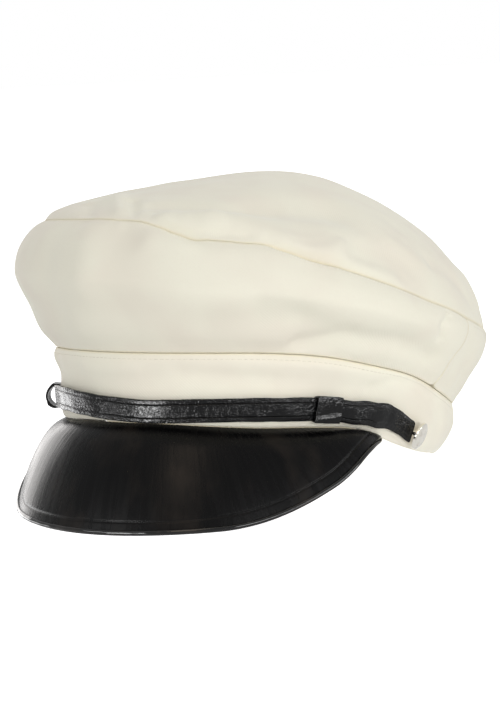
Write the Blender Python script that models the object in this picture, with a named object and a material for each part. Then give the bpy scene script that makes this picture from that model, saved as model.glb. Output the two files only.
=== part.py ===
# Sailor cap: a soft cloth crown on a band, with a glossy peak, a strap, two keepers and two studs.
# Metres, +Z up. The front faces -Y and the wearer's left is +X. The cap rests on the peak's rim
# and on the back of its hem, so the hem tilts up towards the front.
import bpy
import bmesh
from math import cos, degrees, exp, hypot, pi, radians, sin
from mathutils import Matrix, Vector

# Head oval, measured outside the band at its hem, and where its middle sits: a shift is towards
# the back and a lean is towards the wearer's left
HEM_HALF_WIDTH = 0.0827
HEM_HALF_LENGTH = 0.1012
HEM_SHIFT = 0.0015
HEM_LEAN = -0.0017
# Oval of the seam where the band meets the crown
SEAM_HALF_WIDTH = 0.0888
SEAM_HALF_LENGTH = 0.1068
SEAM_SHIFT = 0.0077
SEAM_LEAN = -0.0007
# Oval of the seam round the top panel, which slumps back and to the wearer's left
TIP_HALF_WIDTH = 0.0996
TIP_HALF_LENGTH = 0.1130
TIP_SHIFT = 0.0154
TIP_LEAN = 0.0034
# Heights at the front, above the surface that the cap rests on, and at the middle of the top
HEM_RISE = 0.0448
SEAM_RISE = 0.0768
TIP_RISE = 0.1357
DOME_RISE = 0.1478
# Swell of the cloth past a straight wall
SIDE_SWELL = 0.0190
BAND_SWELL = 0.0028
DENT_DEPTH = 0.0040
CLOTH = 0.0020
# Peak
PEAK_REACH = 0.0325
PEAK_CAMBER = 0.0050
PEAK_THICKNESS = 0.0019
# Strap, keepers and studs
STRAP_WIDTH = 0.0106
STRAP_THICKNESS = 0.0016
STRAP_LIFT = 0.0031
KEEPER_LENGTH = 0.0126
KEEPER_WALL = 0.0009
KEEPER_BOW = 0.0036
STUD_RADIUS = 0.0066
STUD_EDGE = 0.0011
STUD_DOME = 0.0014
STUD_TURN = 14.0
STUD_TIP = 8.0
SHANK_RADIUS = 0.0016
STUD_ANGLE = 94.5
# Upright seams between the front and the rear side panel
PANEL_ANGLE = 100.0
# Clearance between pieces that touch
GAP = 0.0003
# Columns round the whole cap, and rows down the peak
COLUMNS = 72
PEAK_STEPS = 6

# Depths off the band's face: a keeper's back layer lies between the band and the strap
STRAP_BACK = KEEPER_WALL + 2.0 * GAP
STRAP_FACE = STRAP_BACK + STRAP_THICKNESS

# Round the cap: angle from the front in degrees, then the height of the hem, of the crown seam
# and of the top seam on the wearer's left and right, as shares of their heights at the front,
# then the swell of the side panel on the left and right, and of the band where the strap pinches
# it and where it is slack, as shares of SIDE_SWELL and BAND_SWELL
ROUND = (
    # angle, hem, seam, tip left, tip right, side left, side right, pinched, slack
    (0, 1.000, 1.000, 1.000, 1.000, 0.86, 0.86, 0.40, 0.00),
    (15, 0.990, 0.995, 0.962, 1.000, 0.84, 0.86, 0.40, 0.00),
    (30, 0.940, 0.980, 0.914, 0.992, 0.82, 0.86, 0.50, 0.00),
    (45, 0.875, 0.950, 0.867, 0.978, 0.78, 0.86, 0.70, 0.00),
    (60, 0.810, 0.888, 0.783, 0.950, 0.70, 0.86, 0.70, 0.00),
    (75, 0.700, 0.783, 0.695, 0.880, 0.58, 0.80, 0.50, 0.00),
    (90, 0.435, 0.664, 0.601, 0.790, 0.44, 0.70, 0.25, 0.20),
    (105, 0.235, 0.500, 0.527, 0.690, 0.36, 0.58, 0.00, 0.90),
    (120, 0.107, 0.370, 0.467, 0.600, 0.31, 0.46, 0.00, 1.50),
    (135, 0.000, 0.310, 0.450, 0.530, 0.29, 0.38, 0.00, 1.70),
    (180, 0.000, 0.280, 0.430, 0.430, 0.28, 0.28, 0.00, 1.60),
)
# Up the band: share of the way from the hem to the crown seam, and share of its swell
BAND = (
    # up, out
    (0.00, 0.00),
    (0.22, 0.00),
    (0.44, -0.10),
    (0.62, -0.90),
    (0.76, 0.10),
    (0.88, 0.90),
    (1.00, 0.00),
)
# Up the side panel: share of the way from the crown seam to the top seam, and share of its swell
SIDE = (
    # up, out
    (0.00, 0.00),
    (0.08, 0.18),
    (0.16, 0.44),
    (0.34, 0.61),
    (0.44, 0.79),
    (0.56, 0.96),
    (0.64, 1.00),
    (0.79, 0.86),
    (0.87, 0.64),
    (0.94, 0.40),
    (1.00, 0.00),
)
# In over the top panel: share of the way from its seam to the middle, and share of the rise
TOP = (
    # inward, rise
    (0.00, 0.000),
    (0.03, 0.185),
    (0.08, 0.330),
    (0.14, 0.435),
    (0.22, 0.545),
    (0.32, 0.655),
    (0.48, 0.790),
    (0.66, 0.905),
    (0.84, 0.980),
    (1.00, 1.000),
)
# Round the peak: angle, reach as a share of PEAK_REACH and rim height as a share of HEM_RISE
PEAK = (
    # angle, reach, rim
    (0, 0.96, 0.000),
    (20, 0.90, 0.000),
    (40, 0.77, 0.050),
    (60, 0.59, 0.300),
    (72, 0.37, 0.520),
    (82, 0.05, 0.545),
)
# Along the strap: angle, and its lower edge's height above the hem on the wearer's left and
# right as shares of STRAP_LIFT. It sags on to the peak at the front and dips at each stud
STRAP = (
    # angle, left, right
    (0, 0.42, 0.42),
    (8, 0.16, 0.56),
    (16, 0.26, 0.76),
    (28, 0.72, 1.00),
    (40, 1.08, 1.00),
    (58, 1.16, 1.00),
    (67, 0.96, 1.00),
    (77, 1.44, 1.30),
    (88, 0.60, 0.60),
    (96, 0.72, 0.72),
)
# Puffs and dents of the crown: angle, level (1 at the crown seam, 2 at the top seam, 3 at the
# middle), their spreads, and depth as a share of DENT_DEPTH, outwards if positive
DENTS = (
    # angle, level, angle spread, level spread, depth
    (28, 2.04, 10, 0.130, 0.90),
    (30, 1.74, 9, 0.080, -0.70),
    (52, 2.10, 9, 0.060, -0.70),
    (2, 1.62, 13, 0.160, 0.25),
    (-18, 1.70, 8, 0.200, -0.35),
    (60, 1.60, 16, 0.200, 0.45),
    (84, 1.45, 12, 0.150, -0.55),
    (104, 1.45, 5, 0.300, -0.70),
    (130, 2.10, 24, 0.120, 0.50),
    (12, 1.20, 14, 0.070, -0.40),
    (66, 1.16, 14, 0.060, -0.50),
)
# Keepers: name, angle from the front towards the wearer's left, share of KEEPER_BOW
KEEPERS = (
    ("keeper_left", 62.0, 0.10),
    ("keeper_right", -51.0, 1.00),
)


def read(table, column, at):
    """Smooth value of a table's column, where column 0 rises from row to row."""
    xs = [row[0] for row in table]
    ys = [row[column] for row in table]
    last = len(xs) - 1
    i = max(k for k in range(last) if xs[k] <= at or k == 0)

    def slope(k):
        a, b = max(k - 1, 0), min(k + 1, last)
        return (ys[b] - ys[a]) / (xs[b] - xs[a])

    width = xs[i + 1] - xs[i]
    t = min(max((at - xs[i]) / width, 0.0), 1.0)
    start, end = slope(i) * width, slope(i + 1) * width
    rise = ys[i + 1] - ys[i]
    return ys[i] + t * start + t * t * (3 * rise - 2 * start - end) + t ** 3 * (start + end - 2 * rise)


def both_sides(table, left, right):
    """Rows on both sides of the front, from a column for the wearer's left and one for the right."""
    return [(-row[0], row[right]) for row in reversed(table[1:])] + [(row[0], row[left]) for row in table]


def full_circle(left, right):
    """Rows of ROUND on both sides, with one row more past the back at each end."""
    rows = both_sides(ROUND, left, right)
    return [(rows[-2][0] - 360.0, rows[-2][1])] + rows + [(rows[1][0] + 360.0, rows[1][1])]


HEM_HEIGHT = full_circle(1, 1)
SEAM_HEIGHT = full_circle(2, 2)
TIP_HEIGHT = full_circle(3, 4)
SIDE_SHARE = full_circle(5, 6)
PINCH_SHARE = full_circle(7, 7)
SLACK_SHARE = full_circle(8, 8)
PEAK_SHARE = both_sides(PEAK, 1, 1)
RIM_HEIGHT = both_sides(PEAK, 2, 2)
STRAP_SHARE = both_sides(STRAP, 1, 2)


def around(rows, angle):
    return read(rows, 1, (angle + 180.0) % 360.0 - 180.0)


def oval(angle, half_width, half_length, lean, shift, height):
    turn = radians(angle)
    return Vector((lean + half_width * sin(turn), shift - half_length * cos(turn), height))


def hem(angle):
    height = HEM_RISE * max(around(HEM_HEIGHT, angle), 0.0)
    return oval(angle, HEM_HALF_WIDTH, HEM_HALF_LENGTH, HEM_LEAN, HEM_SHIFT, height)


def crown_seam(angle):
    height = SEAM_RISE * around(SEAM_HEIGHT, angle)
    return oval(angle, SEAM_HALF_WIDTH, SEAM_HALF_LENGTH, SEAM_LEAN, SEAM_SHIFT, height)


def tip_seam(angle):
    height = TIP_RISE * around(TIP_HEIGHT, angle)
    return oval(angle, TIP_HALF_WIDTH, TIP_HALF_LENGTH, TIP_LEAN, TIP_SHIFT, height)


def outward(angle):
    """Level direction straight out of the head oval."""
    turn = radians(angle)
    return Vector((sin(turn) / HEM_HALF_WIDTH, -cos(turn) / HEM_HALF_LENGTH, 0.0)).normalized()


def dent(angle, level):
    """Shift of the crown's cloth by its puffs and dents, which fade out at the crown seam."""
    depth = 0.0
    for at, height, turn, rise, share in DENTS:
        across = ((angle - at + 180.0) % 360.0 - 180.0) / turn
        depth += share * exp(-across ** 2 - ((level - height) / rise) ** 2)
    upright = min(max((level - 1.9) / 0.4, 0.0), 1.0)
    fade = min(max((level - 1.0) / 0.1, 0.0), 1.0)
    return (outward(angle) * (1.0 - upright) + Vector((0.0, 0.0, upright))) * DENT_DEPTH * depth * fade


def band_point(angle, up):
    pinched = around(PINCH_SHARE, angle) * read(BAND, 1, up)
    slack = around(SLACK_SHARE, angle) * sin(pi * min(up, 1.0))
    return hem(angle).lerp(crown_seam(angle), up) + outward(angle) * BAND_SWELL * (pinched + slack)


def side_point(angle, up):
    swell = SIDE_SWELL * around(SIDE_SHARE, angle) * read(SIDE, 1, up)
    return crown_seam(angle).lerp(tip_seam(angle), up) + outward(angle) * swell


def top_point(angle, inward):
    seam = tip_seam(angle)
    point = seam.lerp(Vector((TIP_LEAN, TIP_SHIFT, DOME_RISE)), inward)
    point.z = seam.z + (DOME_RISE - seam.z) * read(TOP, 1, inward)
    return point


def cloth_point(angle, level):
    """The cloth's outer face: level 0 is the hem, 1 the crown seam, 2 the top seam, 3 the middle."""
    if level <= 1.0:
        return band_point(angle, level)
    if level <= 2.0:
        return side_point(angle, level - 1.0) + dent(angle, level)
    return top_point(angle, level - 2.0) + dent(angle, level)


def cloth_normal(angle, level):
    along = cloth_point(angle + 1.0, level) - cloth_point(angle - 1.0, level)
    up = cloth_point(angle, level + 0.02) - cloth_point(angle, max(level - 0.02, 0.0))
    return along.cross(up).normalized()


def material(name, color, roughness, metallic=0.0):
    mat = bpy.data.materials.new(name)
    mat.use_nodes = True
    shader = mat.node_tree.nodes["Principled BSDF"]
    shader.inputs["Base Color"].default_value = (*color, 1.0)
    shader.inputs["Roughness"].default_value = roughness
    shader.inputs["Metallic"].default_value = metallic
    return mat


def make_object(name, bm, mat):
    bmesh.ops.recalc_face_normals(bm, faces=bm.faces)
    mesh = bpy.data.meshes.new(name)
    bm.to_mesh(mesh)
    bm.free()
    mesh.shade_smooth()
    mesh.set_sharp_from_angle(angle=radians(40.0))
    mesh.materials.append(mat)
    obj = bpy.data.objects.new(name, mesh)
    bpy.context.scene.collection.objects.link(obj)
    return obj


def skin(rows, closed, poles=None):
    """Wall between outer and inner rows of points: rows[i] is a pair of equal lists.

    A closed row runs all the way round. Poles, an outer and an inner point, close the last row.
    """
    bm = bmesh.new()
    outer = [[bm.verts.new(point) for point in row[0]] for row in rows]
    inner = [[bm.verts.new(point) for point in row[1]] for row in rows]
    count = len(outer[0])
    pairs = list(zip(range(count), range(1, count))) + ([(count - 1, 0)] if closed else [])
    for side in (outer, inner):
        for low, high in zip(side, side[1:]):
            for j, k in pairs:
                bm.faces.new((low[j], low[k], high[k], high[j]))
    for row in (0,) if poles else (0, -1):
        for j, k in pairs:
            bm.faces.new((outer[row][j], outer[row][k], inner[row][k], inner[row][j]))
    if poles:
        for side, pole in zip((outer, inner), poles):
            middle = bm.verts.new(pole)
            for j, k in pairs:
                bm.faces.new((side[-1][j], side[-1][k], middle))
    if not closed:
        for j in (0, -1):
            for i in range(len(rows) - 1):
                bm.faces.new((outer[i][j], outer[i + 1][j], inner[i + 1][j], inner[i][j]))
    return bm


def cloth_rows(angles, levels, trim_first, trim_last):
    """Rows of the cloth wall; a trimmed end row lies half a gap inside its seam."""
    rows = []
    for i, level in enumerate(levels):
        beside = None
        if i == 0 and trim_first:
            beside = levels[1]
        if i == len(levels) - 1 and trim_last:
            beside = levels[-2]
        outer, inner = [], []
        for angle in angles:
            point = cloth_point(angle, level)
            if beside is not None:
                point = point + (cloth_point(angle, beside) - point).normalized() * GAP * 0.5
            normal = cloth_normal(angle, level) if level > 0.0 else outward(angle)
            outer.append(point)
            inner.append(point - normal * CLOTH)
        rows.append((outer, inner))
    return rows


def columns(start, end):
    """The two angles and the whole columns between them."""
    step = 360.0 / COLUMNS
    inside = [step * j for j in range(-COLUMNS, COLUMNS + 1)]
    return [start] + [angle for angle in inside if start + step / 4 < angle < end - step / 4] + [end]


def full_turn():
    return [360.0 * j / COLUMNS for j in range(COLUMNS)]


def arc(angle, length):
    """Degrees that a length along the head oval takes at an angle."""
    turn = radians(angle)
    return degrees(length / hypot(HEM_HALF_WIDTH * cos(turn), HEM_HALF_LENGTH * sin(turn)))


def build_band(cloth):
    rows = cloth_rows(full_turn(), [row[0] for row in BAND], False, True)
    make_object("band", skin(rows, True), cloth)


def build_side(name, start, end, cloth):
    trim = degrees(GAP * 0.5 / TIP_HALF_WIDTH)
    rows = cloth_rows(columns(start + trim, end - trim), [1.0 + row[0] for row in SIDE], True, True)
    make_object(name, skin(rows, False), cloth)


def build_tip(cloth):
    rows = cloth_rows(full_turn(), [2.0 + row[0] for row in TOP[:-1]], True, False)
    middle = top_point(0.0, 1.0)
    make_object("crown_tip", skin(rows, True, (middle, middle - Vector((0.0, 0.0, CLOTH)))), cloth)


def build_peak(vinyl):
    rows = []
    for i in range(PEAK_STEPS + 1):
        down = i / PEAK_STEPS
        outer, inner = [], []
        for angle in columns(-PEAK[-1][0], PEAK[-1][0]):
            out = outward(angle)
            root = hem(angle) - Vector((0.0, 0.0, GAP))
            share = read(PEAK_SHARE, 1, angle)
            reach = PEAK_REACH * share
            drop = root.z - HEM_RISE * max(read(RIM_HEIGHT, 1, angle), 0.0)
            normal = (out * drop + Vector((0.0, 0.0, reach))).normalized()
            camber = PEAK_CAMBER * share ** 0.5 * down ** 0.6 * (1.0 - down) / 0.35
            point = root + out * reach * down - Vector((0.0, 0.0, drop * down)) + normal * camber
            outer.append(point)
            inner.append(point - (out if i in (0, PEAK_STEPS) else normal) * PEAK_THICKNESS)
        rows.append((outer, inner))
    make_object("peak", skin(rows, False), vinyl)


def strap_level(angle, across):
    """Level on the band of a place across the strap, measured up from its middle line."""
    lift = STRAP_LIFT * read(STRAP_SHARE, 1, angle)
    return (lift + STRAP_WIDTH * 0.5 + across) / (crown_seam(angle) - hem(angle)).length


def on_band(angle, across, depth):
    """Point a depth off the band's face, across from the strap's middle line."""
    level = strap_level(angle, across)
    return band_point(angle, level) + cloth_normal(angle, level) * depth


def build_strap(leather):
    end = STUD_ANGLE - arc(STUD_ANGLE, SHANK_RADIUS + GAP)
    rows = []
    for across in (-STRAP_WIDTH * 0.5, 0.0, STRAP_WIDTH * 0.5):
        outer = [on_band(angle, across, STRAP_FACE) for angle in columns(-end, end)]
        inner = [on_band(angle, across, STRAP_BACK) for angle in columns(-end, end)]
        rows.append((outer, inner))
    make_object("chin_strap", skin(rows, False), leather)


def keeper_loop(angle, half, back, front, bow):
    """Loop of points round the strap at one angle: two at the back, then the bowed front."""
    loop = [on_band(angle, -half, back), on_band(angle, half, back)]
    steps = 6
    for i in range(steps + 1):
        share = i / steps
        depth = front + bow * sin(pi * share) ** 0.7
        loop.append(on_band(angle, half * (1.0 - 2.0 * share), depth))
    return loop


def build_keeper(name, middle, bow_share, leather):
    hole = STRAP_WIDTH * 0.5 + GAP
    front = STRAP_FACE + GAP
    bow = KEEPER_BOW * bow_share
    rows = []
    for share in (-0.5, -0.25, 0.0, 0.25, 0.5):
        angle = middle + arc(middle, KEEPER_LENGTH) * share
        outer = keeper_loop(angle, hole + KEEPER_WALL, GAP, front + KEEPER_WALL, bow)
        inner = keeper_loop(angle, hole, GAP + KEEPER_WALL, front, bow)
        rows.append((outer, inner))
    make_object(name, skin(rows, True), leather)


def build_stud(name, side, metal):
    angle = STUD_ANGLE * side
    level = strap_level(angle, 0.0)
    foot = GAP + SHANK_RADIUS * sin(radians(STUD_TURN + STUD_TIP))
    face = STRAP_FACE + GAP + STUD_RADIUS * sin(radians(STUD_TIP))
    crown = face + STUD_EDGE
    profile = (
        (0.0, foot),
        (SHANK_RADIUS, foot),
        (SHANK_RADIUS, face),
        (STUD_RADIUS, face),
        (STUD_RADIUS, crown),
        (STUD_RADIUS * 0.80, crown + STUD_DOME * 0.55),
        (STUD_RADIUS * 0.45, crown + STUD_DOME * 0.90),
        (0.0, crown + STUD_DOME),
    )
    bm = bmesh.new()
    verts = [bm.verts.new((radius, 0.0, depth)) for radius, depth in profile]
    edges = [bm.edges.new(pair) for pair in zip(verts, verts[1:])]
    bmesh.ops.spin(bm, geom=verts + edges, axis=(0, 0, 1), cent=(0, 0, 0), angle=2.0 * pi, steps=24,
                   use_merge=True, use_duplicate=False)
    bmesh.ops.remove_doubles(bm, verts=bm.verts, dist=1e-6)
    axis = Matrix.Rotation(radians(STUD_TURN * side), 3, "Z") @ cloth_normal(angle, level)
    axis.z -= sin(radians(STUD_TIP))
    stud = make_object(name, bm, metal)
    stud.location = band_point(angle, level)
    stud.rotation_euler = axis.to_track_quat("Z", "Y").to_euler()


def main():
    for obj in list(bpy.data.objects):
        bpy.data.objects.remove(obj, do_unlink=True)
    cloth = material("crown_cloth", (0.86, 0.82, 0.71), 0.85)
    vinyl = material("peak_vinyl", (0.010, 0.010, 0.011), 0.12)
    leather = material("strap_leather", (0.012, 0.012, 0.013), 0.25)
    metal = material("stud_metal", (0.80, 0.77, 0.70), 0.20, 1.0)
    build_band(cloth)
    build_side("crown_side_front", -PANEL_ANGLE, PANEL_ANGLE, cloth)
    build_side("crown_side_rear", PANEL_ANGLE, 360.0 - PANEL_ANGLE, cloth)
    build_tip(cloth)
    build_peak(vinyl)
    build_strap(leather)
    for name, angle, bow_share in KEEPERS:
        build_keeper(name, angle, bow_share, leather)
    build_stud("stud_left", 1.0, metal)
    build_stud("stud_right", -1.0, metal)


main()
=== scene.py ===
# Sailor cap: cream cloth crown and band, glossy black peak, strap with two keepers and two studs
# Metres, front towards -Y, the wearer's left towards +X, resting on z = 0
import random
from math import atan2, cos, degrees, exp, pi, radians, sin

import bmesh
import bpy
from mathutils import Matrix, Vector, noise
from mathutils.bvhtree import BVHTree
from mathutils.kdtree import KDTree


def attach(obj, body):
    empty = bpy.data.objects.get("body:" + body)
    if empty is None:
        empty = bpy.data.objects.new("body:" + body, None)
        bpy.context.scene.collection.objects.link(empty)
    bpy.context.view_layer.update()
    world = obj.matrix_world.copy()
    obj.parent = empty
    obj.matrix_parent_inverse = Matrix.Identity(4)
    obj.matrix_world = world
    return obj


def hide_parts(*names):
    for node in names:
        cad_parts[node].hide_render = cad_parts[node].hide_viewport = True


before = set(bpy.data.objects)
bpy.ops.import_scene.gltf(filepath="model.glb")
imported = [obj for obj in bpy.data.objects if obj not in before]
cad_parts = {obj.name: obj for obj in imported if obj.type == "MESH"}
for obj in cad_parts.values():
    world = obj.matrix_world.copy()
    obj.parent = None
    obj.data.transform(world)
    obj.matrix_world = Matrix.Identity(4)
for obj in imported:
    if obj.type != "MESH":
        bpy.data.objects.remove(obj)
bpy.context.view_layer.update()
scene = bpy.context.scene
headMiddle = Vector((-0.001, 0.006, 0.062))   # a point inside the crown that every wall faces away from
turnRadius = 0.1                               # turns an angle round the head into metres of cloth
print("frame loaded", len(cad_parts), "nodes")


# Shader maths: a wire is one output socket, and sums written on wires add Math nodes

class Wire:
    def __init__(self, paint, socket):
        self.paint = paint
        self.socket = socket

    def math(self, operation, first, second=None):
        sockets = {0: first} if second is None else {0: first, 1: second}
        return self.paint.node("Math", {"operation": operation}, sockets)

    def __add__(self, other):
        return self.math("ADD", self, other)

    __radd__ = __add__

    def __mul__(self, other):
        return self.math("MULTIPLY", self, other)

    __rmul__ = __mul__

    def __sub__(self, other):
        return self.math("SUBTRACT", self, other)

    def __rsub__(self, other):
        return self.math("SUBTRACT", other, self)

    def __abs__(self):
        return self.math("ABSOLUTE", self)

    def sine(self):
        return self.math("SINE", self)

    def axis(self, number):                    # one part of a vector
        return self.paint.node("SeparateXYZ", None, {0: self}, out=number)

    def line(self, at, width):                 # 1 on a line at a value, 0 beyond its half width
        return self.paint.node("MapRange", {"interpolation_type": "SMOOTHSTEP"},
                               {"Value": abs(self - at), "From Min": width, "From Max": 0.0})

    def fade(self, start, end):                # 0 before start, 1 past end
        return self.paint.node("MapRange", {"interpolation_type": "SMOOTHSTEP"},
                               {"Value": self, "From Min": start, "From Max": end})


class Paint:
    def __init__(self, name, **fixed):
        self.material = bpy.data.materials.new(name)
        self.material.use_nodes = True
        self.tree = self.material.node_tree
        self.shader = self.tree.nodes["Principled BSDF"]
        self.object = self.node("TexCoord", out="Object")
        for socket, value in fixed.items():
            self.shader.inputs[socket.replace("_", " ")].default_value = value

    def node(self, kind, settings=None, sockets=None, out=0):
        made = self.tree.nodes.new("ShaderNode" + kind)
        for name, value in (settings or {}).items():
            setattr(made, name, value)
        for name, value in (sockets or {}).items():
            self.feed(made.inputs[name], value)
        return Wire(self, made.outputs[out])

    def feed(self, socket, value):
        if isinstance(value, Wire):
            self.tree.links.new(value.socket, socket)
        else:
            socket.default_value = value

    def noise(self, scale, detail=3.0, stretch=(1, 1, 1), place=None, roughness=0.5):
        place = self.object if place is None else place
        if stretch != (1, 1, 1):
            place = self.node("Mapping", None, {"Vector": place, "Scale": stretch})
        return self.node("TexNoise", None, {"Vector": place, "Scale": scale, "Detail": detail,
                                            "Roughness": roughness})

    def mix(self, share, first, second):
        made = self.tree.nodes.new("ShaderNodeMix")
        made.data_type = "RGBA"
        self.feed(made.inputs["Factor"], share)
        for name, value in (("A", first), ("B", second)):
            socket = [s for s in made.inputs if s.name == name and s.type == "RGBA"][0]
            self.feed(socket, value if isinstance(value, Wire) else (*value, 1.0))
        return Wire(self, [s for s in made.outputs if s.type == "RGBA"][0])

    def mapped(self, name):                    # the place on a UV map, in metres
        return self.node("UVMap", {"uv_map": name})

    def bump(self, height, distance, strength=1.0, under=None):
        sockets = {"Height": height, "Distance": distance, "Strength": strength}
        if under is not None:
            sockets["Normal"] = under
        return self.node("Bump", None, sockets)

    def finish(self, **sockets):
        for name, value in sockets.items():
            self.feed(self.shader.inputs[name.replace("_", " ")], value)
        return self.material


# Materials

clothLook = {"light": (0.895, 0.865, 0.730), "shade": (0.865, 0.812, 0.690), "seam": (0.84, 0.77, 0.58),
             "cloudScale": 26.0, "fleckScale": 900.0, "fleckShare": 0.30, "rippleScale": 75.0,
             "rippleDepth": 0.0009, "twillPitch": 0.0007, "twillDepth": 0.00004, "wornFrom": 0.0003,
             "wornTo": 0.0014, "wornShare": 0.55, "roughness": 0.86, "roughnessSpread": 0.10}


# A lift above 1 paints the whole cloth lighter: painted light, giving a lit copy of the same cloth
def clothMaterial(name, paintedLightLift=1.0):
    look = clothLook
    light, shade, worn = ([part * paintedLightLift for part in look[tone]] for tone in ("light", "shade", "seam"))
    paint = Paint(name, Sheen_Weight=0.28, Sheen_Roughness=0.40, Specular_IOR_Level=0.25)
    away = paint.mapped("seamMap").axis(1)
    weave = paint.mapped("weaveMap")
    twill = paint.node("TexWave", {"wave_type": "BANDS", "bands_direction": "DIAGONAL"},
                       {"Vector": weave, "Scale": 2 * pi / 20 / look["twillPitch"], "Distortion": 0.8,
                        "Detail": 1.0, "Detail Scale": 2.0}, out="Fac")
    cloudy = paint.noise(look["cloudScale"], 2.0)
    fleck = paint.noise(look["fleckScale"], 2.0)
    ripple = paint.noise(look["rippleScale"], 2.0, roughness=0.4)
    seamLine = 1.0 - away.fade(look["wornFrom"], look["wornTo"])
    color = paint.mix(cloudy.fade(0.35, 0.70), light, shade)
    color = paint.mix(fleck.fade(0.45, 0.85) * look["fleckShare"], color, shade)
    color = paint.mix(seamLine * look["wornShare"], color, worn)
    soft = paint.bump(ripple, look["rippleDepth"], 0.35)
    fine = paint.bump(twill + fleck * 0.8, look["twillDepth"], 0.55, soft)
    rough = look["roughness"] + (cloudy - 0.5) * look["roughnessSpread"]
    return paint.finish(Base_Color=color, Roughness=rough, Normal=fine)


vinylLook = {"black": (0.0022, 0.0022, 0.0024), "worn": (0.014, 0.011, 0.009), "waveScale": 24.0,
             "waveDepth": 0.0009, "smudgeScale": 45.0, "streakScale": 320.0, "streakDepth": 0.00018,
             "grainScale": 1500.0, "grainDepth": 0.00004, "stitchInset": 0.0062, "grooveWidth": 0.0009,
             "grooveDepth": 0.0004}


def vinylMaterial(name, roughness, specular):
    look = vinylLook
    paint = Paint(name, Specular_IOR_Level=specular)
    seamPlace = paint.mapped("seamMap")
    wave = paint.noise(look["waveScale"], 1.0, (1.0, 1.0, 0.45), roughness=0.3)
    smudge = paint.noise(look["smudgeScale"], 3.0, (1.0, 1.0, 0.5))
    streak = paint.noise(look["streakScale"], 3.0, (1.0, 0.09, 1.0), seamPlace)
    grain = paint.noise(look["grainScale"], 2.0)
    groove = seamPlace.axis(1).line(look["stitchInset"], look["grooveWidth"])
    color = paint.mix(smudge.fade(0.48, 0.75), look["black"], look["worn"])
    soft = paint.bump(wave, look["waveDepth"], 0.5)
    wiped = paint.bump(streak, look["streakDepth"], 0.5, soft)
    cut = paint.bump(1.0 - groove, look["grooveDepth"], 0.9, wiped)
    fine = paint.bump(grain, look["grainDepth"], 0.35, cut)
    rough = roughness + smudge.fade(0.40, 0.80) * 0.06 + streak.fade(0.35, 0.75) * 0.08
    return paint.finish(Base_Color=color, Roughness=rough, Normal=fine)


strapLook = {"black": (0.0030, 0.0030, 0.0034), "stitched": (0.001, 0.001, 0.001),
             "rubbed": (0.005, 0.005, 0.005), "specular": 0.22, "roughness": 0.14, "waveScale": 130.0,
             "waveDepth": 0.0010, "crackScale": 1000.0, "bendScale": 300.0, "crackBend": 0.003,
             "pebbleScale": 620.0, "crackDepth": 0.00034, "patchScale": 42.0, "grainScale": 1800.0,
             "grainDepth": 0.00006, "lineInset": 0.0023, "lineWidth": 0.00045, "lineDepth": 0.0005,
             "stitchPitch": 0.0022}


def strapMaterial(name, lines=True):
    look = strapLook
    paint = Paint(name, Specular_IOR_Level=look["specular"])
    bend = paint.noise(look["bendScale"], 2.0) * look["crackBend"]
    bent = paint.node("VectorMath", {"operation": "ADD"}, {0: paint.object, 1: bend})
    crinkle = paint.node("TexVoronoi", {"feature": "F1"}, {"Vector": bent, "Scale": look["crackScale"]})
    wave = paint.noise(look["waveScale"], 3.0)
    grain = paint.noise(look["grainScale"], 2.0)
    patch = paint.noise(look["patchScale"], 2.0)
    soft = paint.bump(wave, look["waveDepth"], 0.30)
    cracked = paint.bump(crinkle + paint.noise(look["pebbleScale"], 3.0), look["crackDepth"],
                         0.26 + patch.fade(0.42, 0.60) * 0.74, soft)
    fine = paint.bump(grain, look["grainDepth"], 0.4, cracked)
    if lines:
        seamPlace = paint.mapped("seamMap")
        dash = (seamPlace.axis(0) * (2 * pi / look["stitchPitch"])).sine().fade(-0.6, 0.3)
        line = seamPlace.axis(1).line(look["lineInset"], look["lineWidth"])
        fine = paint.bump(1.0 - line, look["lineDepth"], 0.9, fine)
        color = paint.mix(line * dash, look["black"], look["stitched"])
    else:
        color = paint.mix(patch, look["black"], look["rubbed"])
    rough = look["roughness"] + patch.fade(0.35, 0.75) * 0.10 + grain * 0.05
    return paint.finish(Base_Color=color, Roughness=rough, Normal=fine)


metalLook = {"bright": (0.86, 0.83, 0.76), "dull": (0.60, 0.55, 0.46), "roughness": 0.14,
             "stainScale": 420.0, "scratchScale": 900.0, "scratchDepth": 0.00005}


def metalMaterial(name):
    look = metalLook
    paint = Paint(name, Metallic=1.0)
    stain = paint.noise(look["stainScale"], 3.0)
    scratch = paint.noise(look["scratchScale"], 2.0, (1.0, 0.15, 1.0))
    color = paint.mix(stain.fade(0.50, 0.80), look["bright"], look["dull"])
    rough = look["roughness"] + stain.fade(0.40, 0.80) * 0.18
    scratched = paint.bump(scratch, look["scratchDepth"], 0.4)
    return paint.finish(Base_Color=color, Roughness=rough, Normal=scratched)


twistLook = {"scale": 2200.0, "depth": 0.0001, "shade": 0.72}


def threadMaterial(name, color, roughness):
    look = twistLook
    paint = Paint(name, Sheen_Weight=0.15, Specular_IOR_Level=0.35)
    twist = paint.noise(look["scale"], 2.0)
    shaded = paint.mix(twist.fade(0.30, 0.75), color, [part * look["shade"] for part in color])
    return paint.finish(Base_Color=shaded, Roughness=roughness + twist * 0.1,
                        Normal=paint.bump(twist, look["depth"], 0.5))


paints = {
    "crown": clothMaterial("creamTwill"),
    # The band is the crown's cloth painted 6 % lighter: painted light on the band under the crown
    "band": clothMaterial("bandTwill", paintedLightLift=1.06),
    "peak": vinylMaterial("glossVinyl", roughness=0.24, specular=0.12),
    "bead": vinylMaterial("glossBead", roughness=0.05, specular=0.45),
    "strap": strapMaterial("crinkledPatent"),
    "keeper": strapMaterial("keeperPatent", lines=False),
    "stud": metalMaterial("polishedStud"),
    "clothThread": threadMaterial("creamThread", (0.88, 0.83, 0.68), roughness=0.7),
    "peakThread": threadMaterial("blackThread", (0.012, 0.012, 0.012), roughness=0.35),
}
print("materials ready", len(paints))


# Mesh helpers

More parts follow.
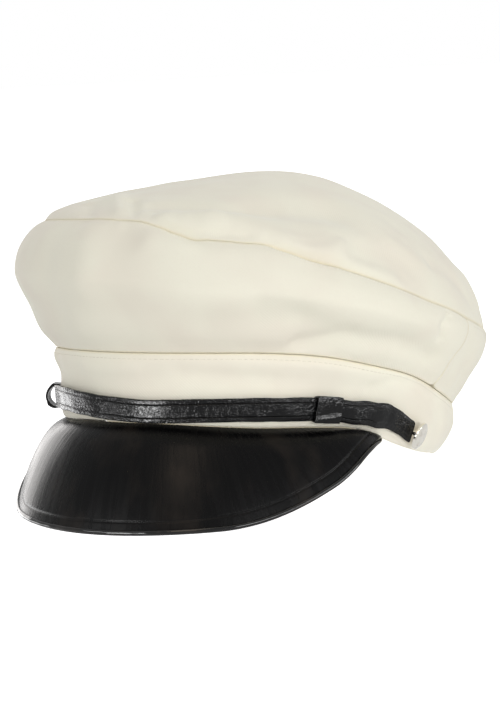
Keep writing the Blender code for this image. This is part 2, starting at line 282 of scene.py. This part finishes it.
# Distances in metres and angles in degrees for reading the solids' meshes
meshCare = {"mergeGap": 1e-5, "quadBend": 35.0, "quadSkew": 70.0, "skinBend": 48.0, "cornerBend": 50.0}


def mergedCopy(node):                          # the node's walls as merged quads
    bm = bmesh.new()
    bm.from_mesh(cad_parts[node].data)
    bm.edges.layers.float.new("crease_edge")
    bmesh.ops.remove_doubles(bm, verts=bm.verts, dist=meshCare["mergeGap"])
    bmesh.ops.join_triangles(bm, faces=bm.faces, angle_face_threshold=radians(meshCare["quadBend"]),
                             angle_shape_threshold=radians(meshCare["quadSkew"]))
    bmesh.ops.recalc_face_normals(bm, faces=bm.faces)
    return bm


def keepOuterSkin(bm):                         # leaves the side of a wall that faces out
    def facing(face):
        return face.normal.dot((face.calc_center_median() - headMiddle).normalized())

    bm.normal_update()
    seed = max(bm.faces, key=facing)
    kept, queue = {seed}, [seed]
    while queue:
        for edge in queue.pop().edges:
            if edge.is_manifold and edge.calc_face_angle() < radians(meshCare["skinBend"]):
                for face in edge.link_faces:
                    if face not in kept and facing(face) > 0.0:
                        kept.add(face)
                        queue.append(face)
    bmesh.ops.delete(bm, geom=[face for face in bm.faces if face not in kept], context="FACES")
    bm.normal_update()


def smoothed(bm, levels):                      # the mesh after a Subdivision Surface modifier
    mesh = bpy.data.meshes.new("draft")
    bm.to_mesh(mesh)
    bm.free()
    draft = bpy.data.objects.new("draft", mesh)
    scene.collection.objects.link(draft)
    step = draft.modifiers.new("smooth", "SUBSURF")
    step.levels = step.render_levels = levels
    step.boundary_smooth = "PRESERVE_CORNERS"
    done = bpy.data.meshes.new_from_object(draft.evaluated_get(bpy.context.evaluated_depsgraph_get()))
    bpy.data.objects.remove(draft)
    bm = bmesh.new()
    bm.from_mesh(done)
    bm.normal_update()
    return bm


def creaseEdges(bm, edges, amount):
    layer = bm.edges.layers.float["crease_edge"]
    for edge in edges:
        edge[layer] = amount


def smoothedSolid(node, crease):               # a whole node, rounded, with its corners held by a crease
    bm = mergedCopy(node)
    corner = radians(meshCare["cornerBend"])
    creaseEdges(bm, [edge for edge in bm.edges if edge.calc_face_angle(0.0) > corner], crease)
    return smoothed(bm, 3)


def chains(edges):                             # runs of joined edges as lists of points, closed ones closed
    left, runs = set(edges), []
    while left:
        ends = [v for e in left for v in e.verts if sum(o in left for o in v.link_edges) == 1]
        vert = min(ends, key=lambda v: (v.co.x, v.co.y)) if ends else max(
            (v for e in left for v in e.verts), key=lambda v: v.co.y)
        run = [vert]
        while True:
            ahead = [e for e in vert.link_edges if e in left]
            if not ahead:
                break
            left.discard(ahead[0])
            vert = ahead[0].other_vert(vert)
            run.append(vert)
        runs.append([v.co.copy() for v in run])
    return runs


def outerSkin(node):                           # a node's outer side, and the runs of its open edge
    bm = mergedCopy(node)
    keepOuterSkin(bm)
    return bm, chains([edge for edge in bm.edges if edge.is_boundary])


def meanHeight(run):
    return sum(point.z for point in run) / len(run)


class Seams:                                   # distances along and away from lines on the cap
    def __init__(self, runs, step=0.0006):
        self.points, self.along = [], []
        for run in runs:
            length = 0.0
            for start, end in zip(run, run[1:]):
                span = (end - start).length
                count = max(1, int(span / step))
                for i in range(count):
                    self.points.append(start.lerp(end, i / count))
                    self.along.append(length + span * i / count)
                length += span
            self.points.append(run[-1].copy())
            self.along.append(length)
        self.tree = KDTree(len(self.points))
        for i, point in enumerate(self.points):
            self.tree.insert(point, i)
        self.tree.balance()

    def place(self, point):
        i, distance = self.tree.find(point)[1:]
        return self.along[i], distance

    def places(self, bm):
        return [self.place(vert.co) for vert in bm.verts]


def angleOf(point):                            # round the head from the front, towards the wearer's left
    return atan2(point.x - headMiddle.x, -(point.y - headMiddle.y))


def outward(point):                            # level, away from the middle of the head
    return Vector((point.x - headMiddle.x, point.y - headMiddle.y, 0.0)).normalized()


def writeMaps(bm, places, flat=False):
    # seamMap holds the distances along and away from a seam, and weaveMap the cloth's own grid
    seamLayer = bm.loops.layers.uv.new("seamMap")
    weaveLayer = bm.loops.layers.uv.new("weaveMap")
    bm.verts.index_update()
    for face in bm.faces:
        first = angleOf(face.loops[0].vert.co)
        for loop in face.loops:
            loop[seamLayer].uv = places[loop.vert.index]
            if flat:
                loop[weaveLayer].uv = loop.vert.co.xy
            else:
                angle = angleOf(loop.vert.co)
                angle += 2 * pi * round((first - angle) / (2 * pi))
                loop[weaveLayer].uv = (angle * turnRadius, loop.vert.co.z)


def newPiece(name, bm, material, nodes=()):
    mesh = bpy.data.meshes.new(name)
    bm.to_mesh(mesh)
    bm.free()
    mesh.shade_smooth()
    mesh.materials.append(material)
    piece = bpy.data.objects.new(name, mesh)
    scene.collection.objects.link(piece)
    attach(piece, "root")
    if nodes:
        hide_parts(*nodes)
    return piece


def finishedTree(piece):                       # the shown surface of a piece, to set stitches on
    shown = piece.evaluated_get(bpy.context.evaluated_depsgraph_get())
    bm = bmesh.new()
    bm.from_mesh(shown.to_mesh())
    tree = BVHTree.FromBMesh(bm)
    bm.free()
    shown.to_mesh_clear()
    return tree


def stitchRow(name, run, tree, inset, look, material):
    # small rounded threads in a row that keeps an inset from a seam
    seed = bmesh.new()
    bmesh.ops.create_uvsphere(seed, u_segments=6, v_segments=4, radius=1.0)
    bmesh.ops.scale(seed, vec=(look["thickness"], look["thickness"] * 0.8, look["length"] * 0.5),
                    verts=seed.verts)
    stitch = bpy.data.meshes.new("stitch")
    seed.to_mesh(stitch)
    seed.free()
    bm = bmesh.new()
    length = sum((b - a).length for a, b in zip(run, run[1:]))
    count = int(length / look["pitch"])
    spots, walked, segment = [], 0.0, 0
    for i in range(count):
        target = (i + 0.5) * length / count
        while segment < len(run) - 2 and walked + (run[segment + 1] - run[segment]).length < target:
            walked += (run[segment + 1] - run[segment]).length
            segment += 1
        start, end = run[segment], run[segment + 1]
        spots.append((start.lerp(end, (target - walked) / (end - start).length), (end - start).normalized()))
    for point, tangent in spots:
        found, normal = tree.find_nearest(point + inset(point, tangent))[:2]
        across = tangent.cross(normal).normalized()
        turn = Matrix((across, normal, tangent)).transposed().to_4x4()
        start = len(bm.verts)
        bm.from_mesh(stitch)
        bm.verts.ensure_lookup_table()
        bmesh.ops.transform(bm, matrix=Matrix.Translation(found + normal * look["proud"]) @ turn,
                            verts=bm.verts[start:])
    bpy.data.meshes.remove(stitch)
    newPiece(name, bm, material)


def ease(value):
    value = min(max(value, 0.0), 1.0)
    return value * value * (3.0 - 2.0 * value)


# Cloth: soft folds laid along short lines on the outside of the cap, and puckers at the seams

# Each fold: how far the cloth moves out (in where negative), half width, and the line it follows
foldLines = [
    (0.0032, 0.010, (0.029, -0.089, 0.135), (0.045, -0.077, 0.135)),
    (-0.0020, 0.0036, (0.046, -0.089, 0.131), (0.052, -0.085, 0.127), (0.060, -0.077, 0.126)),
    (0.0020, 0.006, (0.026, -0.102, 0.126), (0.040, -0.097, 0.125)),
    (0.0010, 0.008, (-0.007, -0.105, 0.131), (-0.004, -0.113, 0.120), (-0.007, -0.113, 0.107)),
    (-0.0012, 0.011, (0.010, -0.107, 0.129), (0.013, -0.114, 0.116), (0.012, -0.111, 0.102)),
    (-0.0010, 0.009, (-0.033, -0.106, 0.118), (-0.033, -0.106, 0.106), (-0.031, -0.101, 0.091)),
    (-0.0026, 0.0055, (0.073, -0.061, 0.076), (0.087, -0.042, 0.077), (0.096, -0.016, 0.070),
     (0.096, 0.012, 0.058)),
    (-0.0010, 0.004, (0.088, -0.038, 0.113), (0.092, -0.028, 0.110), (0.096, -0.018, 0.106),
     (0.098, -0.010, 0.101)),
    (-0.0014, 0.008, (0.086, -0.048, 0.079), (0.078, -0.067, 0.087), (0.067, -0.080, 0.091)),
    (0.0014, 0.012, (0.024, -0.104, 0.093), (0.049, -0.100, 0.101), (0.072, -0.085, 0.103)),
    (-0.0022, 0.0022, (0.106, 0.016, 0.079), (0.107, 0.008, 0.075), (0.103, 0.011, 0.068)),
    (-0.0048, 0.012, (0.052, -0.046, 0.136), (0.059, -0.034, 0.134), (0.065, -0.019, 0.132)),
    (-0.0012, 0.003, (0.067, -0.069, 0.1235), (0.072, -0.064, 0.1215), (0.076, -0.057, 0.1205),
     (0.080, -0.046, 0.1195), (0.080, -0.036, 0.121)),
    (0.0033, 0.0070, (0.071, -0.066, 0.120), (0.077, -0.059, 0.118), (0.082, -0.049, 0.117),
     (0.083, -0.039, 0.118)),
    (-0.0022, 0.006, (0.086, -0.034, 0.116), (0.090, -0.022, 0.113), (0.094, -0.011, 0.109),
     (0.096, -0.002, 0.104)),
    (0.0016, 0.0045, (0.089, -0.039, 0.109), (0.094, -0.029, 0.105), (0.097, -0.019, 0.100)),
    (-0.0018, 0.006, (0.010, -0.077, 0.141), (0.023, -0.072, 0.140), (0.036, -0.067, 0.138),
     (0.045, -0.057, 0.137)),
    (-0.0013, 0.004, (0.044, -0.068, 0.137), (0.052, -0.079, 0.131), (0.052, -0.086, 0.127)),
    (-0.0014, 0.007, (0.070, -0.084, 0.099), (0.077, -0.076, 0.095), (0.080, -0.068, 0.090)),
    (0.0020, 0.004, (-0.024, -0.061, 0.143), (-0.002, -0.088, 0.140), (0.007, -0.097, 0.136)),
    (-0.0019, 0.0035, (-0.009, -0.070, 0.143), (0.005, -0.087, 0.140), (0.011, -0.097, 0.135)),
    (-0.0015, 0.003, (0.016, -0.084, 0.139), (0.019, -0.095, 0.134)),
    (-0.0015, 0.004, (-0.030, -0.073, 0.141), (-0.020, -0.087, 0.139), (-0.016, -0.096, 0.136)),
    (0.0009, 0.006, (0.086, -0.005, 0.117), (0.092, 0.001, 0.110), (0.097, 0.009, 0.101)),
    (-0.0011, 0.005, (0.095, 0.019, 0.103), (0.095, 0.040, 0.093), (0.096, 0.051, 0.081)),
    (0.0010, 0.004, (0.082, 0.072, 0.091), (0.089, 0.070, 0.077)),
    (-0.0013, 0.006, (0.103, 0.037, 0.066), (0.093, 0.050, 0.049), (0.082, 0.059, 0.034)),
    (0.0009, 0.004, (-0.023, -0.096, 0.068), (-0.007, -0.099, 0.068), (0.008, -0.099, 0.069)),
    (-0.0008, 0.003, (0.082, -0.020, 0.050), (0.087, -0.007, 0.052), (0.088, 0.019, 0.045)),
    (-0.0009, 0.004, (0.088, 0.014, 0.046), (0.086, 0.027, 0.036), (0.083, 0.038, 0.022)),
    (-0.0008, 0.004, (0.029, -0.093, 0.068), (0.044, -0.083, 0.064), (0.060, -0.067, 0.061)),
]

# How far the top seam runs above its plain line: angle in degrees and metres
seamWave = [(-60, 0.0), (-18, 0.0007), (2, 0.0009), (10.5, 0.0022), (15, 0.0012), (19, -0.0004),
            (23.5, -0.0018), (27.5, -0.0003), (33, 0.0005), (40.5, 0.0015), (45, 0.0), (51, -0.0012),
            (60, 0.0), (86, 0.0), (97, 0.0010), (110, 0.0)]

clothShape = {"wall": 0.0015, "turnIn": 0.0022, "closeUp": 0.0006, "seamCrease": 0.85, "slowWave": 0.0013,
              "slowScale": 21.0, "quickWave": 0.0005, "quickScale": (60.0, 60.0, 38.0), "pucker": 0.00042,
              "puckerPitch": 0.0062, "puckerReach": 0.0085, "puckerStart": 0.0025, "puckerPatches": 16.0,
              "foldStart": 0.005, "waveReach": 0.012, "backFolds": 22, "backFrom": 125.0, "backTo": 318.0,
              "backTurn": 0.10, "backDepths": (-0.0014, -0.0010, 0.0012), "seed": 7}


def waveAt(point, wave=seamWave):
    angle = degrees(angleOf(point))
    for (start, low), (end, high) in zip(wave, wave[1:]):
        if start <= angle < end:
            return low + (high - low) * ease((angle - start) / (end - start))
    return 0.0


def backFolds(node):                           # soft slanting folds round the back and the wearer's right
    look = clothShape
    wall = mergedCopy(node)
    tree = BVHTree.FromBMesh(wall)
    wall.free()
    chance = random.Random(look["seed"])
    made = []
    for _ in range(look["backFolds"]):
        angle = radians(chance.uniform(look["backFrom"], look["backTo"]))
        lift = chance.uniform(-0.35, 0.9)
        slant = chance.uniform(-0.5, 0.5)
        path = []
        for share in (-1.0, 0.0, 1.0):
            turn = angle + share * look["backTurn"] * (1.0 + slant)
            toward = Vector((sin(turn), -cos(turn), lift + share * slant * 0.35)).normalized()
            found = tree.ray_cast(headMiddle, toward)[0]
            if found:
                path.append(found)
        if len(path) == 3:
            made.append((chance.choice(look["backDepths"]), chance.uniform(0.004, 0.009), *path))
    return made


def foldShift(point):                          # how far all folds together move a point of the cloth out
    shift = 0.0
    for depth, width, *path in foldLines:
        nearest = 3.0
        for start, end in zip(path, path[1:]):
            span = Vector(end) - Vector(start)
            share = min(max((point - Vector(start)).dot(span) / span.length_squared, 0.0), 1.0)
            nearest = min(nearest, (point - Vector(start) - span * share).length / width)
        shift += depth * exp(-nearest * nearest)
    return shift


def drape(bm, places, salt):                   # folds, waves and puckers, each piece with its own salt
    look = clothShape
    moves = []
    for vert, (along, away) in zip(bm.verts, places):
        point = vert.co
        slow = noise.noise(point * look["slowScale"] + Vector((salt, 0.0, 0.0)))
        quick = noise.noise(point * Vector(look["quickScale"]) + Vector((0.0, 0.0, salt)))
        shift = (look["slowWave"] * slow + look["quickWave"] * quick + foldShift(point)) * ease(
            away / look["foldStart"])
        pucker = noise.noise(Vector((along / look["puckerPitch"], salt, 0.3)))
        strength = 0.5 + 0.9 * noise.noise(Vector((along * look["puckerPatches"], salt, 5.0)))
        shift += (look["pucker"] * max(strength, 0.1) * 2.0 * pucker * exp(-away / look["puckerReach"])
                  * ease(away / look["puckerStart"]))
        near = exp(-(tipSeam.place(point)[1] / look["waveReach"]) ** 2)
        moves.append(vert.normal * shift + Vector((0.0, 0.0, waveAt(point) * near)))
    for vert, move in zip(bm.verts, moves):
        vert.co += move
    bm.normal_update()


def clothPiece(name, node, flat=False, hem=False, salt=0.0):
    # a node's outer side as cloth: its edges turned in, except at the hem, then draped and given a wall
    look = clothShape
    bm, runs = outerSkin(node)
    rim = [edge for edge in bm.edges if edge.is_boundary]
    seams = Seams(runs)
    hemPoints = {tuple(point) for point in min(runs, key=meanHeight)} if hem else set()
    turned = [e for e in rim if tuple(e.verts[0].co) not in hemPoints]
    edgeVerts = {vert for edge in rim for vert in edge.verts}
    inward, beyond = {}, {}
    for vert in edgeVerts:
        inner = [e.other_vert(vert).co for e in vert.link_edges if e.other_vert(vert) not in edgeVerts]
        inward[vert] = -vert.normal
        beyond[vert] = (vert.co - inner[0]).normalized() if inner else Vector()
    made = bmesh.ops.extrude_edge_only(bm, edges=turned)["geom"]
    tips = {item for item in made if isinstance(item, bmesh.types.BMVert)}
    flange = {item for item in made if isinstance(item, bmesh.types.BMFace)}
    for vert in tips:
        origin = [e.other_vert(vert) for e in vert.link_edges if e.other_vert(vert) not in tips][0]
        vert.co += inward[origin] * look["turnIn"] + beyond[origin] * look["closeUp"]
    creaseEdges(bm, [e for e in bm.edges if len(e.link_faces) == 2 and not set(e.verts) & tips
                     and len(flange.intersection(e.link_faces)) == 1], look["seamCrease"])
    bm = smoothed(bm, 2)
    places = seams.places(bm)
    drape(bm, places, salt)
    writeMaps(bm, places, flat)
    piece = newPiece(name, bm, paints["band" if hem else "crown"], (node,))
    wall = piece.modifiers.new("wall", "SOLIDIFY")
    wall.thickness = look["wall"]
    wall.offset = -1.0
    soften = piece.modifiers.new("soften", "SUBSURF")
    soften.levels = soften.render_levels = 1
    print("cloth", name, len(piece.data.vertices), "points")
    return piece, runs


foldLines += backFolds("crown_tip") + backFolds("crown_side_rear")
tipSkin, tipRuns = outerSkin("crown_tip")
tipSkin.free()
tipSeam = Seams(tipRuns)
topRuns = clothPiece("topCloth", "crown_tip", flat=True, salt=1.7)[1]
frontCloth = clothPiece("frontCloth", "crown_side_front", salt=4.1)[0]
rearCloth = clothPiece("rearCloth", "crown_side_rear", salt=7.9)[0]
bandCloth, bandRuns = clothPiece("bandCloth", "band", hem=True, salt=11.3)

clothThread = {"length": 0.0022, "thickness": 0.00014, "pitch": 0.0027, "proud": 0.00001, "underTip": 0.0030,
               "underCrown": 0.0026}


def below(amount):                             # a place straight down the wall from a seam
    def shift(point, tangent):
        return (point - headMiddle).normalized() * 0.001 - Vector((0.0, 0.0, amount))
    return shift


crownRun = max(bandRuns, key=meanHeight)
frontTree, rearTree = finishedTree(frontCloth), finishedTree(rearCloth)
topRun = [p + Vector((0.0, 0.0, waveAt(p))) for p in topRuns[0]]
frontPart = [p for p in topRun if frontTree.find_nearest(p)[3] <= rearTree.find_nearest(p)[3]]
rearPart = [p for p in topRun if p not in frontPart]
for name, part, tree in (("topThreadFront", frontPart, frontTree), ("topThreadRear", rearPart, rearTree)):
    part = sorted(part, key=lambda p: angleOf(p) % (2 * pi) if tree is rearTree else angleOf(p))
    stitchRow(name, part, tree, below(clothThread["underTip"]), clothThread, paints["clothThread"])
stitchRow("crownSeamThread", crownRun, finishedTree(bandCloth), below(clothThread["underCrown"]),
          clothThread, paints["clothThread"])
print("cloth stitched")


# Peak

peakShape = {"rimCrease": 0.55, "beadRadius": 0.0012, "beadInset": 0.0012, "beadSink": 0.0006,
             "pointGap": 0.004, "lookIn": 0.12, "sewnTo": 72.0, "threadLift": 0.001}
peakThread = {"length": 0.0021, "thickness": 0.00018, "pitch": 0.0029, "proud": 0.00002}


def rounded(path, steps=5):                    # a smooth path through the points of a rough one
    ends = [path[0] * 2 - path[1], *path, path[-1] * 2 - path[-2]]
    made = []
    for a, b, c, d in zip(ends, ends[1:], ends[2:], ends[3:]):
        for i in range(steps):
            t = i / steps
            made.append((b * 2 + (c - a) * t + (a * 2 - b * 5 + c * 4 - d) * t ** 2
                         + (b * 3 - a - c * 3 + d) * t ** 3) * 0.5)
    return made + [path[-1].copy()]


def cord(path, radius):                        # a round cord along a path
    curve = bpy.data.curves.new("cord", "CURVE")
    curve.dimensions = "3D"
    curve.bevel_depth = radius
    curve.bevel_resolution = 4
    curve.use_fill_caps = True
    spline = curve.splines.new("POLY")
    spline.points.add(len(path) - 1)
    for point, place in zip(spline.points, path):
        point.co = (*place, 1.0)
    draft = bpy.data.objects.new("cord", curve)
    bm = bmesh.new()
    bm.from_mesh(bpy.data.meshes.new_from_object(draft))
    bpy.data.objects.remove(draft)
    bmesh.ops.remove_doubles(bm, verts=bm.verts, dist=1e-6)
    bmesh.ops.recalc_face_normals(bm, faces=bm.faces)
    return bm


rimSkin, rimRuns = outerSkin("peak")
rimTree = BVHTree.FromBMesh(rimSkin)
rimSkin.free()
loop = rimRuns[0][:-1]
first, last = sorted((loop.index(min(loop, key=angleOf)), loop.index(max(loop, key=angleOf))))
lowerHalf = min((loop[first:last + 1], loop[last:] + loop[:first + 1]), key=meanHeight)   # this is the rim
spaced = lowerHalf[:1]
for point in lowerHalf[1:]:
    if (point - spaced[-1]).length > peakShape["pointGap"]:
        spaced.append(point)
rimRun = rounded(spaced)
peakSeams = Seams([rimRun])
bm = smoothedSolid("peak", peakShape["rimCrease"])
writeMaps(bm, peakSeams.places(bm))
peakTree = BVHTree.FromBMesh(bm)
newPiece("peakShell", bm, paints["peak"], ("peak",))


def upThePeak(inset, lift):                    # a place on the peak's outer face, in from its rim
    def shift(point, tangent):
        aim = rimTree.find_nearest(point.lerp(headMiddle, peakShape["lookIn"]))[0]
        inwards = (aim - point).normalized()
        normal = inwards.cross(tangent).normalized()
        return inwards * inset + normal * (lift if normal.dot(point - headMiddle) > 0.0 else -lift)
    return shift


setBead = upThePeak(peakShape["beadInset"], -peakShape["beadSink"])
beadRun = []
for before, here, after in zip(rimRun, rimRun[1:], rimRun[2:]):
    place = here + setBead(here, after - before)
    place.z = max(place.z, peakShape["beadRadius"])
    beadRun.append(place)
bm = cord(beadRun, peakShape["beadRadius"])
writeMaps(bm, peakSeams.places(bm))
newPiece("peakBead", bm, paints["bead"])
sewn = [p for p in rimRun if abs(angleOf(p)) < radians(peakShape["sewnTo"])]
stitchRow("peakThread", sewn, peakTree, upThePeak(vinylLook["stitchInset"], peakShape["threadLift"]),
          peakThread, paints["peakThread"])
print("peak ready")


# Strap, keepers and studs

strapShape = {"edgeCrease": 0.45, "wave": 0.00022, "waveScale": 140.0, "rollOff": 0.0007,
              "rollWidth": 0.0030, "rollFrom": 30.0, "rollOver": 20.0, "faceOut": 0.2}
# How far the strap runs above its plain line: angle in degrees and metres
strapWave = [(-84, 0.0), (-45, 0.0018), (-30, 0.0021), (-22, 0.0014), (-12, 0.0004), (-4, 0.0), (58, 0.0),
             (67, -0.0016), (73, -0.0014), (81, 0.0021), (85, 0.0025), (94, 0.0)]

strapSkin, strapRuns = outerSkin("chin_strap")
strapSkin.free()
bm = smoothedSolid("chin_strap", strapShape["edgeCrease"])
places = Seams(strapRuns).places(bm)
for vert, (along, away) in zip(bm.verts, places):      # its edges roll off a little, and it waves and sags
    out = outward(vert.co)
    if vert.normal.dot(out) > strapShape["faceOut"]:
        vert.co -= out * strapShape["rollOff"] * max(1.0 - away / strapShape["rollWidth"], 0.0) ** 2 * ease(
            (degrees(angleOf(vert.co)) - strapShape["rollFrom"]) / strapShape["rollOver"])
    vert.co += vert.normal * strapShape["wave"] * noise.noise(vert.co * strapShape["waveScale"])
    vert.co.z += waveAt(vert.co, strapWave)
bm.normal_update()
writeMaps(bm, places)
newPiece("strapBody", bm, paints["strap"], ("chin_strap",))

keeperShape = {"edgeCrease": 0.5, "squeeze": 0.88, "step": 0.0008, "stepFrom": 0.20, "stepTo": 0.40}

for name, node in (("keeperLoopLeft", "keeper_left"), ("keeperLoopRight", "keeper_right")):
    bm = smoothedSolid(node, keeperShape["edgeCrease"])
    low, high = min(v.co.z for v in bm.verts), max(v.co.z for v in bm.verts)
    middle = (low + high) * 0.5
    for vert in bm.verts:                      # the lower third stands a little proud of the rest
        out = outward(vert.co)
        share = ((vert.co.z - low) / (high - low) - keeperShape["stepFrom"]) / (
            keeperShape["stepTo"] - keeperShape["stepFrom"])
        if vert.normal.dot(out) > strapShape["faceOut"]:
            vert.co += out * keeperShape["step"] * (1.0 - ease(share))
        vert.co.z = middle + (vert.co.z - middle) * keeperShape["squeeze"] + waveAt(vert.co, strapWave)
    bm.normal_update()
    newPiece(name, bm, paints["keeper"], (node,))

studShape = {"edgeWidth": 0.00035, "edgeSteps": 3, "edgeBend": 35.0}

for name, node in (("studLeft", "stud_left"), ("studRight", "stud_right")):
    piece = newPiece(name, mergedCopy(node), paints["stud"], (node,))
    roundEdge = piece.modifiers.new("roundEdge", "BEVEL")
    roundEdge.width = studShape["edgeWidth"]
    roundEdge.segments = studShape["edgeSteps"]
    roundEdge.limit_method = "ANGLE"
    roundEdge.angle_limit = radians(studShape["edgeBend"])
print("strap, keepers and studs ready")


# Floor, light and camera

studio = {"floor": (0.93, 0.93, 0.93), "floorGlow": 0.95, "below": 0.76, "above": 0.59, "backdrop": 1.0,
          "azimuth": 36.0, "elevation": 8.2, "roll": 4.1, "distance": 1.13, "target": (-0.0017, 0.0, 0.0616),
          "pixelsPerMetre": 2060.0, "targetPixel": (245.0, 351.0), "frame": (500.0, 714.0)}

bm = bmesh.new()
bmesh.ops.create_grid(bm, x_segments=1, y_segments=1, size=6.0)
mesh = bpy.data.meshes.new("floor")
bm.to_mesh(mesh)
bm.free()
floor = bpy.data.objects.new("floor", mesh)
scene.collection.objects.link(floor)
floorPaint = Paint("paleFloor", Roughness=0.9, Specular_IOR_Level=0.1, Emission_Strength=studio["floorGlow"],
                   Emission_Color=(1.0, 1.0, 1.0, 1.0))
mesh.materials.append(floorPaint.finish(Base_Color=(*studio["floor"], 1.0)))
floor.visible_diffuse = floor.visible_glossy = floor.visible_shadow = False   # seen, but lights nothing

scene.world = bpy.data.worlds.new("studioWorld")
scene.world.use_nodes = True
sky = scene.world.node_tree.nodes
soft, seen, choose = sky["Background"], sky.new("ShaderNodeBackground"), sky.new("ShaderNodeMixShader")
soft.inputs["Color"].default_value = seen.inputs["Color"].default_value = (1.0, 1.0, 1.0, 1.0)
seen.inputs["Strength"].default_value = studio["backdrop"]
join = scene.world.node_tree.links.new
place, split, level = (sky.new("ShaderNode" + kind) for kind in ("TexCoord", "SeparateXYZ", "MapRange"))
# The table sends up more light than the sky sends down
for name, value in (("From Min", -0.3), ("From Max", 0.3), ("To Min", studio["below"]),
                    ("To Max", studio["above"])):
    level.inputs[name].default_value = value
join(place.outputs["Generated"], split.inputs[0])
join(split.outputs["Z"], level.inputs["Value"])
join(level.outputs[0], soft.inputs["Strength"])
join(sky.new("ShaderNodeLightPath").outputs["Is Camera Ray"], choose.inputs[0])
join(soft.outputs[0], choose.inputs[1])
join(seen.outputs[0], choose.inputs[2])
join(choose.outputs[0], sky["World Output"].inputs["Surface"])
scene.view_settings.view_transform = "Standard"


def softLight(name, azimuth, elevation, distance, width, height, power, color=(1.0, 1.0, 1.0), gloss=False):
    light = bpy.data.lights.new(name, "AREA")
    light.shape = "RECTANGLE"
    light.size, light.size_y = width, height
    light.energy = power
    light.color = color
    lamp = bpy.data.objects.new(name, light)
    back = Vector((0.0, -1.0, 0.0))
    back.rotate(Matrix.Rotation(radians(-elevation), 3, "X"))
    back.rotate(Matrix.Rotation(radians(azimuth), 3, "Z"))
    lamp.location = Vector((0.0, 0.0, 0.07)) + back * distance
    lamp.rotation_euler = back.to_track_quat("Z", "Y").to_euler()
    lamp.visible_diffuse = not gloss           # a gloss light only shows as a reflection
    scene.collection.objects.link(lamp)


softLight("keyRight", 60.0, 8.0, 1.5, 0.5, 0.4, 6.3)
softLight("topAbove", 200.0, 75.0, 1.4, 1.2, 1.2, 2.7)
softLight("stripFront", -10.0, -8.0, 1.2, 0.42, 0.12, 7.0, gloss=True)
softLight("warmCard", 19.0, 52.0, 1.2, 0.36, 0.90, 2.0, (1.0, 0.80, 0.62), gloss=True)
softLight("stripLeft", -90.0, -12.0, 1.2, 1.0, 0.25, 3.4, gloss=True)
softLight("stripRight", 98.0, 6.0, 1.2, 1.2, 0.20, 11.0, gloss=True)
softLight("stripRim", -18.0, 10.0, 1.2, 0.80, 0.10, 5.0, gloss=True)
softLight("panelLeft", -110.0, 6.0, 1.3, 0.75, 0.6, 4.1, (1.0, 0.97, 0.95), gloss=True)

camera = bpy.data.cameras.new("photoCamera")
camera.sensor_fit = "VERTICAL"
camera.sensor_height = 36.0
camera.lens = camera.sensor_height * studio["pixelsPerMetre"] * studio["distance"] / studio["frame"][1]
camera.shift_x = -(studio["targetPixel"][0] - studio["frame"][0] / 2) / studio["frame"][1]
camera.shift_y = (studio["targetPixel"][1] - studio["frame"][1] / 2) / studio["frame"][1]
eye = bpy.data.objects.new("photoCamera", camera)
turn = Matrix.Rotation(radians(studio["azimuth"]), 3, "Z") @ Matrix.Rotation(
    radians(90.0 - studio["elevation"]), 3, "X") @ Matrix.Rotation(radians(-studio["roll"]), 3, "Z")
eyePlace = Vector(studio["target"]) + turn.col[2] * studio["distance"]
eye.matrix_world = Matrix.Translation(eyePlace) @ turn.to_4x4()
scene.collection.objects.link(eye)
scene.camera = eye
print("studio ready")
